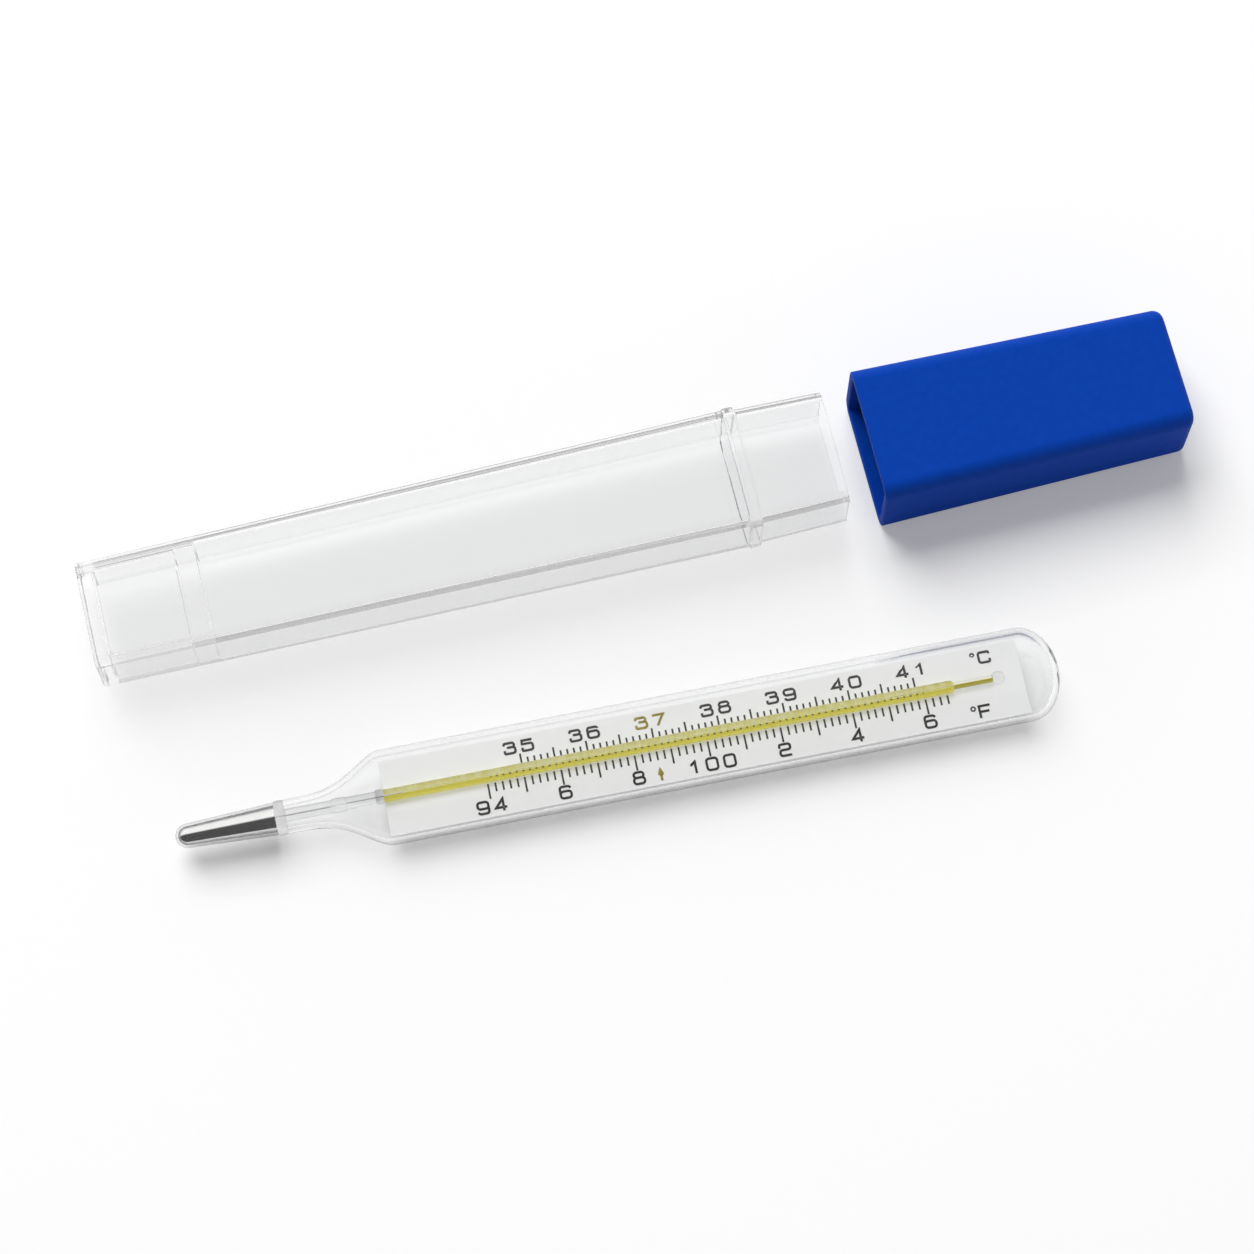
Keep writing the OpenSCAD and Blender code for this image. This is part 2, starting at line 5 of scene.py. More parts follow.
import bmesh
import bpy
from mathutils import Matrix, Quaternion, Vector


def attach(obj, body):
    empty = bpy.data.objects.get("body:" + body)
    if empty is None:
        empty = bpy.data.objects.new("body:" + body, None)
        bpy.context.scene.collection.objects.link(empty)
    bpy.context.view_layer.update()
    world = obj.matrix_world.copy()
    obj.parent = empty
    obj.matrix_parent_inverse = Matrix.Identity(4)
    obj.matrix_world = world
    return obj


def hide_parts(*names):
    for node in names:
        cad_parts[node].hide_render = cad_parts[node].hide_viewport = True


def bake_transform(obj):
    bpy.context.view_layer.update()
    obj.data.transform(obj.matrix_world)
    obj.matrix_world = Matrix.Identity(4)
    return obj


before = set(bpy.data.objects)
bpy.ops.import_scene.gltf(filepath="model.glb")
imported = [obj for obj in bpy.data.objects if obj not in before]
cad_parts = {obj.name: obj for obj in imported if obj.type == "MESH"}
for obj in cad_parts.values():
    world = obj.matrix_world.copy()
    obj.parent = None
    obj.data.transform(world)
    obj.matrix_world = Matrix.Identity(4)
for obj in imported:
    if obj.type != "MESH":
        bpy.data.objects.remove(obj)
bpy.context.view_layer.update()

MM = 0.001
tiny = 1e-6

# Glass body, in millimetres from the tip of the bulb
thermometer_length = 125.0
body_half_width = 6.8
body_half_height = 3.9
body_wall = 0.9
neck_radius = 2.4
seal_start = 14.0
seal_end = 15.4
seal_bulge = 0.15
flare_length = 14.2
flare_power = 1.9
flare_rings = 32
dome_length = 5.0
dome_start = thermometer_length - dome_length

# Rings of the domed end, in degrees, closer together towards its tip
dome_angles = (89, 87.5, 85.5, 83, 80, 76, 72, 67, 62, 57, 52, 46, 40, 34, 28, 21, 14, 7, 0)

# Bulb, stem and capillary, in millimetres from the tip of the bulb
clearance = 0.02
bulb_tip_radius = 1.7
bulb_neck_radius = 2.3
bulb_wall = 0.35
capillary_lift = 0.6
bore_radius = 0.07
stem_radius = 0.85
pinch_place = 22.9
pinch_reach = 1.1
pinch_swell = 0.15
pinch_radius = 0.03
bead_start = 28.1
bead_end = 29.2
bead_radius = 1.05
capillary_radius = 0.9
shoulder_start = 109.4
capillary_end = 109.9
tail_radius = 0.5
tail_bead_place = 116.3
tail_bead_radius = 0.95

# Small flat that ends the tail's bead, in radians
tail_tip_angle = 0.03

# Where the axis of the glass body and the axis of the capillary start, in millimetres
axis_place = (-thermometer_length / 2, 0, body_half_height)
capillary_place = (-thermometer_length / 2, 0, body_half_height + capillary_lift)

# Mercury in the bore, in millimetres from the tip of the bulb, its round top in degrees
mercury_radius = 0.06
stem_mercury_overlap = 0.1
stem_mercury_taper = 0.4
stem_mercury_point = 0.02
thread_start = 24.0
thread_taper = 0.3
thread_point = 0.03
thread_rings = 24
head_start = 30.7
column_top = 31.9
head_round_angle = 85

# Milky plate, in millimetres from the tip of the bulb and from the axis of the glass body
plate_start = 29.2
plate_half_width = 5.57
plate_top = -0.39
plate_thickness = 0.4
plate_edge = 0.06

# Gold strip and the ticks in it, in millimetres, degrees and lines of the scale
strip_half_angle = 70
strip_thickness = 0.05
strip_thread_share = 0.3
strip_short_of_bead = 0.7
strip_end = tail_bead_place - strip_short_of_bead
# Painted light across the gold strip: between these distances from its middle it turns from deep, as if
# shaded, to pale, as if lit from behind
painted_light_start = 0.19
painted_light_end = 0.25
scale_start = 48.8
line_pitch = 0.93255
tick_middle = 0.215
tick_reach = 0.075
tick_half_share = 0.16
ticks_before_start = 5
ticks_after_start = 61

# Case, in millimetres from its closed end, with its sizes as halves
case_place = (-69.3, 32.0, 6.65)
case_turn = 2.25
case_length = 107.5
case_end_size = (7.95, 5.3)
case_full_size = (8.95, 5.5)
neck_start_size = (8.75, 5.3)
neck_end_size = (8.5, 5.215)
collar_size = (9.2, 6.65)
collar_start = 93.0
collar_end = 94.9
collar_round = 0.45
case_corner = 1.6
collar_corner = 3.0
least_corner = 0.3
case_end_round = 0.5
case_wall = 1.0
case_end_wall = 2.0
nest_depth = 13.6
nest_end = 16.8
nest_wall = 1.6
nest_rim = 0.4
nest_rim_edge = 0.15
rim_round = 0.12
gate_size = (1.3, 0.87)
gate_depth = 0.4
gate_first_inset = 0.02

# Place of the cap's mouth, in millimetres from the closed end of the case
cap_start = 112.3

# Cap, in millimetres from its mouth, with its sizes as halves
cap_length = 45.5
cap_mouth_size = (10.1, 6.65)
cap_end_size = (9.2, 6.35)
cap_wall = 1.25
cap_end_wall = 1.6
cap_end_round = 1.4
cap_corner = 2.2
cap_edge = 0.25
cap_floor_round = 0.5

# Clear materials, and the bounces after which light goes straight on through them
glass_index = 1.47
styrene_index = 1.5
clear_gloss = 0.1
most_bounces = 5

# Table: its size in metres, how far it lies under the part in millimetres, and its glow
table_size = 6.0
table_drop = 0.02
table_glow = 0.22

# Room: lights of which 1 is white, and directions as shares of straight up or straight back
wall_light = 0.85
ceiling_light = 0.12
wall_top = 0.2
ceiling_start = 0.6
front_mirror_light = 0.035
back_mirror_light = 1.3
back_start = -0.05
back_full = 0.2
clear_mirror_share = 0.4
turned_round_share = 0.5
bulb_surfaces = 4

# Camera, in metres and degrees, with its lens in millimetres
camera_place = (-0.0277, -0.1444, 0.485)
camera_direction = (0.06341, 0.31894, -0.94565)
camera_roll = -0.15
camera_lens = 103.9
camera_sensor = 36.0


# Modelling

def metres(point):
    """The same point in metres."""
    return tuple(value * MM for value in point)


def bare_selection():
    """Takes every object out of the selection."""
    bpy.ops.object.select_all(action="DESELECT")


def pick(piece, indices):
    """In edit mode, selects only these vertices."""
    mesh = bmesh.from_edit_mesh(piece.data)
    mesh.verts.ensure_lookup_table()
    for elements in (mesh.faces, mesh.edges, mesh.verts):
        for element in elements:
            element.select_set(False)
    for index in indices:
        mesh.verts[index].select_set(True)
    mesh.select_flush_mode()
    bmesh.update_edit_mesh(piece.data)


def picked(piece):
    """In edit mode, the indices of the selected vertices and their places."""
    mesh = bmesh.from_edit_mesh(piece.data)
    mesh.verts.index_update()
    return [(v.index, v.co.copy()) for v in mesh.verts if v.select]


def spread(piece, across, up):
    """Moves the halves of the selected ring apart, sideways and upwards."""
    for axis, amount in ((1, across), (2, up)):
        if abs(amount) < tiny:
            continue
        ring = picked(piece)
        for side in (1, -1):
            pick(piece, [i for i, place in ring if side * place[axis] > 0])
            step = [0, 0, 0]
            step[axis] = side * amount * MM
            bpy.ops.transform.translate(value=step)
        pick(piece, [i for i, _ in ring])


def extrude(distance):
    """Grows what is selected along X."""
    bpy.ops.mesh.extrude_region_move(TRANSFORM_OT_translate={"value": (distance * MM, 0, 0)})


def stretch(x, across, up):
    """Scales what is selected about the long axis."""
    bpy.ops.transform.resize(value=(1, across, up), center_override=(x * MM, 0, 0))


def start_ring(name, x, radius, sides, filled):
    """A new piece in edit mode that starts as one circle round the X axis."""
    bare_selection()
    bpy.ops.mesh.primitive_circle_add(
        vertices=sides, radius=radius * MM, fill_type="NGON" if filled else "NOTHING",
        location=(x * MM, 0, 0), rotation=(0, math.pi / 2, 0))
    piece = bpy.context.object
    piece.name = name
    bpy.ops.object.transform_apply(location=True, rotation=True, scale=True)
    bpy.ops.object.mode_set(mode="EDIT")
    bpy.ops.mesh.select_mode(type="VERT")
    return piece


def face_outwards():
    """Points all faces of the piece outwards and leaves edit mode."""
    bpy.ops.mesh.select_all(action="SELECT")
    bpy.ops.mesh.normals_make_consistent(inside=False)
    bpy.ops.object.mode_set(mode="OBJECT")


def loft(name, stations, sides=96, tube=False):
    """A solid along X, grown ring by ring from stations (x, half width, half height, corner radius).

    A tube is open right through: its last ring is joined to its first.
    """
    x, half_width, half_height, radius = stations[0]
    piece = start_ring(name, x, radius, sides, filled=not tube)
    bpy.ops.mesh.select_all(action="SELECT")
    bpy.ops.transform.rotate(
        value=math.pi / sides, orient_axis="X", center_override=(x * MM, 0, 0))
    across, up = half_width - radius, half_height - radius
    spread(piece, across, up)
    for station in stations[1:]:
        ratio = station[3] / radius
        extrude(station[0] - x)
        x, half_width, half_height, radius = station
        if abs(ratio - 1) > tiny:
            stretch(x, ratio, ratio)
        new_across, new_up = half_width - radius, half_height - radius
        spread(piece, new_across - ratio * across, new_up - ratio * up)
        across, up = new_across, new_up
    if tube:
        last = [i for i, _ in picked(piece)]
        pick(piece, last + list(range(sides)))
        bpy.ops.mesh.bridge_edge_loops()
    face_outwards()
    return piece


def turned(name, outline, sides, tube=False):
    """A round solid along X from points (x, radius)."""
    return loft(name, [(x, r, r, r) for x, r in outline], sides, tube)


def settle(piece, place=(0, 0, 0), turn=0.0, crease=40):
    """Puts a piece in its place, keeps the place in its mesh and smooths its faces."""
    bare_selection()
    piece.select_set(True)
    bpy.context.view_layer.objects.active = piece
    piece.rotation_euler = (0, 0, math.radians(turn))
    piece.location = metres(place)
    bpy.ops.object.transform_apply(location=True, rotation=True, scale=True)
    bpy.ops.object.shade_smooth_by_angle(angle=math.radians(crease))
    even = piece.modifiers.new("even normals", "WEIGHTED_NORMAL")
    even.keep_sharp = True
    bpy.ops.object.modifier_apply(modifier=even.name)
    return piece


def finish(piece, material, slot, *nodes):
    """Gives a piece its material and hides the nodes that it stands for; its slot is not used."""
    piece.data.materials.clear()
    piece.data.materials.append(material)
    if nodes:
        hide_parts(*nodes)


def dress(piece, material, body, slot, *nodes):
    """Finishes a piece that rides on one body."""
    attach(piece, body)
    finish(piece, material, slot, *nodes)


def quarter(steps=6):
    """Sine and cosine over a quarter turn."""
    return [(math.sin(math.pi / 2 * i / steps), math.cos(math.pi / 2 * i / steps))
            for i in range(steps + 1)]


def rounded(start, end, radius, depth, steps):
    """Points (x, radius) of a bulging rim from start to end."""
    middle, half = (start + end) / 2, (end - start) / 2
    points = []
    for i in range(steps + 1):
        angle = math.pi * i / steps
        points.append((middle - half * math.cos(angle), radius + depth * math.sin(angle)))
    return points


# Glass of the thermometer

def smooth(t):
    """A share that starts and ends gently."""
    return t * t * (3 - 2 * t)


def flare(t, inset):
    """Station of the flare, from the neck at 0 to the full body at 1."""
    share = smooth(t ** flare_power)
    half_width = neck_radius + (body_half_width - neck_radius) * share - inset
    half_height = neck_radius + (body_half_height - neck_radius) * share - inset
    return (seal_end + flare_length * t, half_width, half_height, half_height)


def dome(angle, inset):
    """Station of the domed end, from the full body at 0 degrees to the tip at 90."""
    bend = math.cos(math.radians(angle))
    reach = (dome_length - inset) * math.sin(math.radians(angle))
    half_height = (body_half_height - inset) * bend
    return (dome_start + reach, (body_half_width - inset) * bend, half_height, half_height)


def body_stations(inset):
    """The glass body from the tip of its dome back to its neck."""
    shares = [1 - i / flare_rings for i in range(flare_rings + 1)]
    return [dome(a, inset) for a in dome_angles] + [flare(t, inset) for t in shares]


def glass_body():
    """The flat oval glass, down its outer wall and back up its inner one."""
    outside, inside = body_stations(0), body_stations(body_wall)
    return settle(loft("glass_body", outside + inside[::-1], sides=104), axis_place)


def melted_ring():
    """The ring of melted glass between the bulb and the body."""
    outline = rounded(seal_start, seal_end, bulb_neck_radius, seal_bulge, steps=10)
    return settle(turned("melted_ring", outline, sides=96), axis_place)


def bulb_outline(inset):
    """Points of the bulb from its round tip to its neck, this far inside its glass."""
    reach = bulb_tip_radius - inset
    tip = [(bulb_tip_radius - reach * fall, reach * rise) for rise, fall in quarter(steps=14)[1:]]
    return tip + [(seal_start, bulb_neck_radius - inset)]


def bulb():
    """The thin glass of the bulb."""
    outer, inner = bulb_outline(0), bulb_outline(bulb_wall)
    return settle(turned("bulb", outer + inner[::-1], sides=96), axis_place)


def stem():
    """The clear stem inside the flare, with its swelling and the constriction in its bore."""
    pinch_start, pinch_end = pinch_place - pinch_reach, pinch_place + pinch_reach
    swell = rounded(pinch_start, pinch_end, stem_radius, pinch_swell, steps=12)
    outside = [(seal_end, stem_radius)] + swell + [(bead_start, stem_radius)]
    inside = [(bead_start, bore_radius), (pinch_end, bore_radius), (pinch_place, pinch_radius),
              (pinch_start, bore_radius), (seal_end, bore_radius)]
    return settle(turned("stem", outside + inside, sides=72, tube=True), capillary_place)


def bead():
    """The melted bead between the stem and the capillary."""
    outline = rounded(bead_start, bead_end, stem_radius, bead_radius - stem_radius, steps=10)
    inside = [(bead_end, bore_radius), (bead_start, bore_radius)]
    return settle(turned("bead", outline + inside, sides=72, tube=True), capillary_place)


def shoulder(gap, steps):
    """Points (x, radius) where the capillary narrows to its tail, a gap outside its glass."""
    return [(shoulder_start + (capillary_end - shoulder_start) * rise,
             tail_radius + gap + (capillary_radius - tail_radius) * fall)
            for rise, fall in quarter(steps)]


def capillary():
    """The clear tube along the scale."""
    outside = [(bead_end, capillary_radius)] + shoulder(0, steps=8)
    inside = [(capillary_end, bore_radius), (bead_end, bore_radius)]
    return settle(turned("capillary", outside + inside, sides=96, tube=True), capillary_place)


def tail():
    """The drawn-out end of the capillary and the bead that closes it."""
    meet = math.asin(tail_radius / tail_bead_radius)
    last = math.pi - tail_tip_angle
    points = [(capillary_end, tail_radius)]
    steps = 16
    for i in range(steps + 1):
        angle = meet + (last - meet) * i / steps
        points.append((tail_bead_place - tail_bead_radius * math.cos(angle),
                       tail_bead_radius * math.sin(angle)))
    return settle(turned("tail", points, sides=72), capillary_place)


# Plate and gold strip

def plate():
    """The milky plate behind the capillary."""
    bare_selection()
    length = dome_start - plate_start
    bpy.ops.mesh.primitive_cube_add(
        size=1, location=metres((plate_start + length / 2, 0, plate_top - plate_thickness / 2)),
        scale=metres((length, 2 * plate_half_width, plate_thickness)))
    piece = bpy.context.object
    piece.name = "milk_plate"
    bpy.ops.object.transform_apply(location=True, rotation=True, scale=True)
    bpy.ops.object.mode_set(mode="EDIT")
    bpy.ops.mesh.select_all(action="SELECT")
    bpy.ops.mesh.bevel(offset=plate_edge * MM, segments=3, affect="EDGES")
    bpy.ops.object.mode_set(mode="OBJECT")
    return settle(piece, axis_place)


def gold_strip():
    """An arc behind the capillary that narrows and runs on behind the tail to its bead."""
    radius = capillary_radius + clearance
    piece = start_ring("gold_strip", plate_start, radius, sides=96, filled=False)
    limit = -radius * MM * math.cos(math.radians(strip_half_angle))
    mesh = bmesh.from_edit_mesh(piece.data)
    for vertex in mesh.verts:
        vertex.select_set(vertex.co.z > limit)
    bmesh.update_edit_mesh(piece.data)
    bpy.ops.mesh.delete(type="VERT")
    bpy.ops.mesh.select_all(action="SELECT")
    extrude(shoulder_start - plate_start)
    x, wide = shoulder_start, radius
    for new_x, new_wide in shoulder(clearance, steps=6)[1:]:
        extrude(new_x - x)
        stretch(new_x, new_wide / wide, new_wide / wide)
        x, wide = new_x, new_wide
    stretch(x, strip_thread_share, 1)
    extrude(strip_end - x)
    bpy.ops.object.mode_set(mode="OBJECT")
    shell = piece.modifiers.new("thickness", "SOLIDIFY")
    shell.thickness = strip_thickness * MM
    shell.offset = 1
    bpy.ops.object.modifier_apply(modifier=shell.name)
    bpy.ops.object.mode_set(mode="EDIT")
    face_outwards()
    return settle(piece, capillary_place)


# Mercury

def bulb_filling():
    """The mercury in the bulb."""
    outline = bulb_outline(bulb_wall + clearance)
    outline[-1] = (seal_start - clearance, outline[-1][1])
    return settle(turned("bulb_filling", outline, sides=96), axis_place)


def stem_mercury():
    """The mercury in the bore of the stem, up to the constriction."""
    end = pinch_place - pinch_reach
    outline = [(seal_start - stem_mercury_overlap, mercury_radius),
               (end - stem_mercury_taper, mercury_radius), (end, stem_mercury_point)]
    return settle(turned("stem_mercury", outline, sides=24), capillary_place)


def thread():
    """The mercury past the constriction, with rings to stretch between."""
    full = thread_start + thread_taper
    outline = [(thread_start, thread_point)]
    for i in range(thread_rings + 1):
        outline.append((full + (head_start - full) * i / thread_rings, mercury_radius))
    return settle(turned("thread", outline, sides=24), capillary_place)


def head():
    """The moving end of the column, with its round top."""
    outline = [(head_start, mercury_radius)]
    steps = 6
    for i in range(steps + 1):
        angle = math.radians(head_round_angle * i / steps)
        outline.append((column_top - mercury_radius + mercury_radius * math.sin(angle),
                        mercury_radius * math.cos(angle)))
    return settle(turned("head", outline, sides=24), capillary_place)


# Case and cap

def section(x, size, corner, inset=0.0):
    """Station of the case or the cap, this far inside its outer size."""
    return (x, size[0] - inset, size[1] - inset, max(corner - inset, least_corner))


def between(x):
    """Outer size of the case's body at a distance from its closed end."""
    t = x / collar_start
    return tuple(a + (b - a) * t for a, b in zip(case_end_size, case_full_size))


def gate_mark(piece):
    """Sinks the small moulding mark into the closed end."""
    bpy.ops.object.mode_set(mode="EDIT")
    bpy.ops.mesh.select_mode(type="FACE")
    mesh = bmesh.from_edit_mesh(piece.data)
    end = min(mesh.faces, key=lambda face: face.calc_center_median().x)
    for face in mesh.faces:
        face.select_set(face == end)
    bmesh.update_edit_mesh(piece.data)
    bpy.ops.mesh.inset(thickness=gate_first_inset * MM)
    across, up = (size - case_end_round for size in case_end_size)
    stretch(0, gate_size[0] / across, gate_size[1] / up)
    extrude(gate_depth)
    bpy.ops.object.mode_set(mode="OBJECT")


def case_outside():
    """The case's outer wall, from its closed end over the collar to the rim of its neck."""
    stations = []
    for rise, fall in quarter():
        stations.append(section(case_end_round * (1 - fall), between(0), case_corner,
                                case_end_round * (1 - rise)))
    stations.append(section(collar_start, between(collar_start), case_corner))
    for rise, fall in quarter():
        stations.append(section(collar_start + collar_round * (1 - fall), collar_size,
                                collar_corner, collar_round * (1 - rise)))
    for rise, fall in quarter():
        stations.append(section(collar_end - collar_round + collar_round * rise, collar_size,
                                collar_corner, collar_round * (1 - fall)))
    stations.append(section(collar_end, neck_start_size, case_corner))
    for rise, fall in quarter(steps=3):
        stations.append(section(case_length - rim_round + rim_round * rise, neck_end_size,
                                case_corner, rim_round * (1 - fall)))
    return stations


def case_inside():
    """The case's inner wall, from the rim of its neck down to the floor of the nest."""
    stations = []
    inner_rim = case_wall - rim_round
    for rise, fall in quarter(steps=3)[::-1]:
        stations.append(section(case_length - rim_round + rim_round * rise, neck_end_size,
                                case_corner, inner_rim + rim_round * fall))
    stations.append(section(collar_end, neck_start_size, case_corner, case_wall))
    for x, inset in ((nest_end, case_wall),
                     (nest_end - nest_rim_edge, case_wall + nest_rim),
                     (nest_depth + nest_rim_edge, case_wall + nest_rim),
                     (nest_depth, nest_wall)):
        stations.append(section(x, between(x), case_corner, inset))
    for rise, fall in quarter(steps=4):
        stations.append(section(case_end_wall + case_end_round * (1 - rise), between(0),
                                case_corner, nest_wall + case_end_round * (1 - fall)))
    return stations


def case():
    """The clear case with its closed end, its collar, its neck and its nest for the bulb."""
    piece = loft("case", case_outside() + case_inside())
    gate_mark(piece)
    return settle(piece, case_place, case_turn, crease=30)


def cap_size(x):
    """Outer size of the cap at a distance from its mouth."""
    return tuple(a + (b - a) * x / cap_length for a, b in zip(cap_mouth_size, cap_end_size))


def cap():
    """The blue cap, from its closed end over the edge of its mouth to the floor inside."""
    stations = []
    for rise, fall in quarter(steps=8):
        x = cap_length - cap_end_round * (1 - fall)
        stations.append(section(x, cap_size(x), cap_corner, cap_end_round * (1 - rise)))
    for rise, fall in quarter(steps=4):
        x = cap_edge * (1 - rise)
        stations.append(section(x, cap_size(0), cap_corner, cap_edge * (1 - fall)))
    for rise, fall in quarter(steps=4):
        x = cap_edge * (1 - fall)
        stations.append(section(x, cap_size(0), cap_corner, cap_wall - cap_edge * (1 - rise)))
    floor = cap_length - cap_end_wall
    for rise, fall in quarter(steps=4):
        x = floor - cap_floor_round * (1 - rise)
        stations.append(section(x, cap_size(x), cap_corner, cap_wall + cap_floor_round * (1 - fall)))
    shifted = [(cap_start + s[0], *s[1:]) for s in stations]
    return settle(loft("cap", shifted, sides=128), case_place, case_turn, crease=30)


# Materials

def new_material(name):
    """A new material with its nodes, its links, its surface and its output."""
    material = bpy.data.materials.new(name)
    material.use_nodes = True
    nodes = material.node_tree.nodes
    return material, nodes, material.node_tree.links, nodes["Principled BSDF"], nodes["Material Output"]


def waver_group():
    """Slow hollows and fine specks over a surface: a colour mask and a normal."""
    group = bpy.data.node_groups.new("surface waver", "ShaderNodeTree")
    face = group.interface
    for name in ("Size", "Strength", "Depth"):
        face.new_socket(name=name, in_out="INPUT", socket_type="NodeSocketFloat")
    face.new_socket(name="Mask", in_out="OUTPUT", socket_type="NodeSocketFloat")
    face.new_socket(name="Normal", in_out="OUTPUT", socket_type="NodeSocketVector")
    nodes, links = group.nodes, group.links
    inlet, outlet = nodes.new("NodeGroupInput"), nodes.new("NodeGroupOutput")
    place = nodes.new("ShaderNodeTexCoord")
    noise = nodes.new("ShaderNodeTexNoise")
    noise.inputs["Detail"].default_value = 3
    bump = nodes.new("ShaderNodeBump")
    links.new(place.outputs["Object"], noise.inputs["Vector"])
    links.new(inlet.outputs["Size"], noise.inputs["Scale"])
    links.new(noise.outputs["Fac"], bump.inputs["Height"])
    links.new(inlet.outputs["Strength"], bump.inputs["Strength"])
    links.new(inlet.outputs["Depth"], bump.inputs["Distance"])
    links.new(noise.outputs["Fac"], outlet.inputs["Mask"])
    links.new(bump.outputs["Normal"], outlet.inputs["Normal"])
    return group


waver = waver_group()


def add_waver(nodes, size, strength, depth):
    """Places the waver in a material, with its depth in millimetres."""
    node = nodes.new("ShaderNodeGroup")
    node.node_tree = waver
    node.inputs["Size"].default_value = size
    node.inputs["Strength"].default_value = strength
    node.inputs["Depth"].default_value = depth * MM
    return node


def blended(nodes, links, mask, low, high):
    """One colour over another by a mask; each is a socket or three plain numbers."""
    mix = nodes.new("ShaderNodeMix")
    mix.data_type = "RGBA"
    links.new(mask, mix.inputs["Factor"])
    for name, colour in (("A", low), ("B", high)):
        if isinstance(colour, (tuple, list)):
            mix.inputs[name].default_value = (*colour, 1)
        else:
            links.new(colour, mix.inputs[name])
    return mix.outputs["Result"]


def level(nodes, links, mask, low, high, start=0.0, end=1.0):
    """A number that runs from low to high while a mask runs from start to end."""
    span = nodes.new("ShaderNodeMapRange")
    span.inputs["From Min"].default_value = start
    span.inputs["From Max"].default_value = end
    span.inputs["To Min"].default_value = low
    span.inputs["To Max"].default_value = high
    links.new(mask, span.inputs["Value"])
    return span.outputs["Result"]


def calc(nodes, links, operation, *values):
    """What an operation makes of sockets and plain numbers."""
    node = nodes.new("ShaderNodeMath")
    node.operation = operation
    for socket, value in zip(node.inputs, values):
        if isinstance(value, (int, float)):
            socket.default_value = value
        else:
            links.new(value, socket)
    return node.outputs["Value"]


def at_least(nodes, links, count, least):
    """1 where a ray's count of bounces has come this far, otherwise 0."""
    return calc(nodes, links, "GREATER_THAN", count, least - 0.5)


def pass_light(nodes, links, surface, output, share, clearness=1.0):
    """Lets a share of the rays go straight on through a surface, dimmed by its clearness."""
    through = nodes.new("ShaderNodeBsdfTransparent")
    through.inputs["Color"].default_value = (clearness, clearness, clearness, 1)
    mix = nodes.new("ShaderNodeMixShader")
    links.new(share, mix.inputs["Fac"])
    links.new(surface.outputs["BSDF"], mix.inputs[1])
    links.new(through.outputs["BSDF"], mix.inputs[2])
    links.new(mix.outputs["Shader"], output.inputs["Surface"])


def lighten_shadow(nodes, links, surface, output, share):
    """Lets a share of the lamp's light through a thin piece."""
    ray = nodes.new("ShaderNodeLightPath")
    passed = calc(nodes, links, "MULTIPLY", ray.outputs["Is Shadow Ray"], share)
    pass_light(nodes, links, surface, output, passed)


def clear_material(name, tint, evenness, index, shadow, painted_edge_shade, edge_power,
                   size, strength, depth):
    """Clear glass or plastic that lets the lamp reach what lies behind it.

    Its colour is painted darker where it is seen edge on, a painted shade for its dark outlines, and
    light that has turned round inside a wall too often goes straight on.
    """
    material, nodes, links, surface, output = new_material(name)
    flow = add_waver(nodes, size, strength, depth)
    mask = flow.outputs["Mask"]
    surface.inputs["Transmission Weight"].default_value = 1
    surface.inputs["IOR"].default_value = index
    surface.inputs["Specular IOR Level"].default_value = clear_gloss
    # Painted shade: the colour darkens towards the outlines, by the angle at which the surface is seen
    slope = nodes.new("ShaderNodeLayerWeight")
    edge = calc(nodes, links, "POWER", slope.outputs["Facing"], edge_power)
    body = blended(nodes, links, mask, [c * evenness for c in tint], tint)
    rim = blended(nodes, links, mask, [painted_edge_shade * evenness] * 3, [painted_edge_shade] * 3)
    links.new(blended(nodes, links, edge, body, rim), surface.inputs["Base Color"])
    links.new(level(nodes, links, mask, 0.0, 0.02), surface.inputs["Roughness"])
    links.new(flow.outputs["Normal"], surface.inputs["Normal"])
    ray = nodes.new("ShaderNodeLightPath")
    trapped = at_least(nodes, links, ray.outputs["Ray Depth"], most_bounces)
    straight_on = calc(nodes, links, "MAXIMUM", ray.outputs["Is Shadow Ray"], trapped)
    pass_light(nodes, links, surface, output, straight_on, clearness=shadow)
    return material


def grained_material(name, low, high, rough, size, strength, depth, gloss, thin=0.0):
    """A surface with a slow change of colour and a fine grain.

    A thin one lets a share of the lamp's light through, so its shadow is a light one.
    """
    material, nodes, links, surface, output = new_material(name)
    grain = add_waver(nodes, size, strength, depth)
    mask = grain.outputs["Mask"]
    surface.inputs["Specular IOR Level"].default_value = gloss
    links.new(blended(nodes, links, mask, low, high), surface.inputs["Base Color"])
    links.new(level(nodes, links, mask, rough[0], rough[1]), surface.inputs["Roughness"])
    links.new(grain.outputs["Normal"], surface.inputs["Normal"])
    if thin:
        lighten_shadow(nodes, links, surface, output, thin)
    return material


def mercury_material():
    """Bright metal whose colour is painted grey towards its outline: a painted reflection of the
    surroundings it mirrors there.
    """
    material, nodes, links, surface, _ = new_material("mercury")
    flow = add_waver(nodes, size=500.0, strength=0.05, depth=0.01)
    mask = flow.outputs["Mask"]
    surface.inputs["Metallic"].default_value = 1
    # Painted reflection: the colour turns grey towards the outline, by the angle at which the surface
    # is seen
    slope = nodes.new("ShaderNodeLayerWeight")
    edge = level(nodes, links, slope.outputs["Facing"], 0.0, 1.0, start=0.26, end=0.5)
    body = blended(nodes, links, mask, low=(0.74, 0.73, 0.72), high=(0.80, 0.795, 0.79))
    rim = blended(nodes, links, mask, low=(0.24, 0.24, 0.255), high=(0.34, 0.34, 0.36))
    links.new(blended(nodes, links, edge, body, rim), surface.inputs["Base Color"])
    links.new(level(nodes, links, mask, 0.04, 0.08), surface.inputs["Roughness"])
    links.new(flow.outputs["Normal"], surface.inputs["Normal"])
    return material


